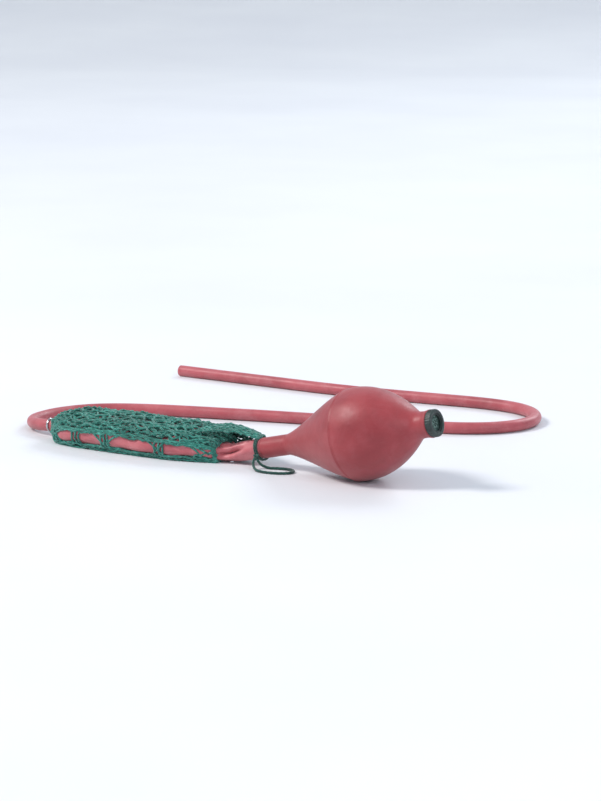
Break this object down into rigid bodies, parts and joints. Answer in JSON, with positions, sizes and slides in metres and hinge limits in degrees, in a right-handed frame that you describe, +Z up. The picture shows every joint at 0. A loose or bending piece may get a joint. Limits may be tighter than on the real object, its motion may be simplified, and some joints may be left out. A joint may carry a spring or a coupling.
{
  "type": "pipette filler bulb",
  "caption": "Red rubber double-bulb filler: pump bulb with a black inlet valve, a slack reservoir in a green knotted net, and a rubber hose that lies loose.",
  "frame": {"origin": "on the surface that it lies on, under the middle of the outline of the bulb and the reservoir", "axes": "+X along the two bulbs towards the inlet valve, +Z up, +Y towards the side where the hose lies"},
  "size_m": [0.3121, 0.2385, 0.0514],
  "materials": {
    "bulb_rubber": "matte",
    "bladder_rubber": "matte",
    "hose_rubber": "matte",
    "valve_black": "satin",
    "strainer": "satin",
    "steel": "satin",
    "nipple": "gloss",
    "net_twine": "matte",
    "string": "matte"
  },
  "bodies": {
    "root": {"pump_bulb": "bulb_rubber", "inlet_valve_body": "valve_black", "inlet_valve_seat": "valve_black", "inlet_valve_spring": "steel", "inlet_valve_cage": "valve_black", "inlet_strainer": "strainer", "inlet_snap_ring": "valve_black", "outlet_valve_body": "valve_black", "outlet_valve_spring": "steel", "outlet_valve_stop": "valve_black", "reservoir_bladder": "bladder_rubber", "reservoir_net": "net_twine", "net_drawstring": "string", "drawstring_knot": "string", "drawstring_loop": "string", "net_end_tie": "string", "hose_nipple": "nipple", "hose_tie": "steel", "hose_run": "hose_rubber", "hose_end": "hose_rubber"},
    "bulb_crown": {"pump_bulb_crown": "bulb_rubber"},
    "inlet_ball": {"inlet_valve_ball": "steel"},
    "outlet_ball": {"outlet_valve_ball": "steel"}
  },
  "joints": [
    {"name": "squeeze", "type": "slide", "parent": "root", "child": "bulb_crown", "axis": [0.2334, 0, -0.9724], "range_m": [0, 0.011], "stiffness_N_per_m": 400, "springref_m": -0.001},
    {"name": "inlet_valve_lift", "type": "slide", "parent": "root", "child": "inlet_ball", "axis": [-0.9724, 0, -0.2334], "range_m": [0, 0.0014], "stiffness_N_per_m": 20, "springref_m": -0.002, "deforming": ["inlet_valve_spring"]},
    {"name": "outlet_valve_lift", "type": "slide", "parent": "root", "child": "outlet_ball", "axis": [-0.9724, 0, -0.2334], "range_m": [0, 0.0014], "stiffness_N_per_m": 20, "springref_m": -0.002, "deforming": ["outlet_valve_spring"]}
  ]
}
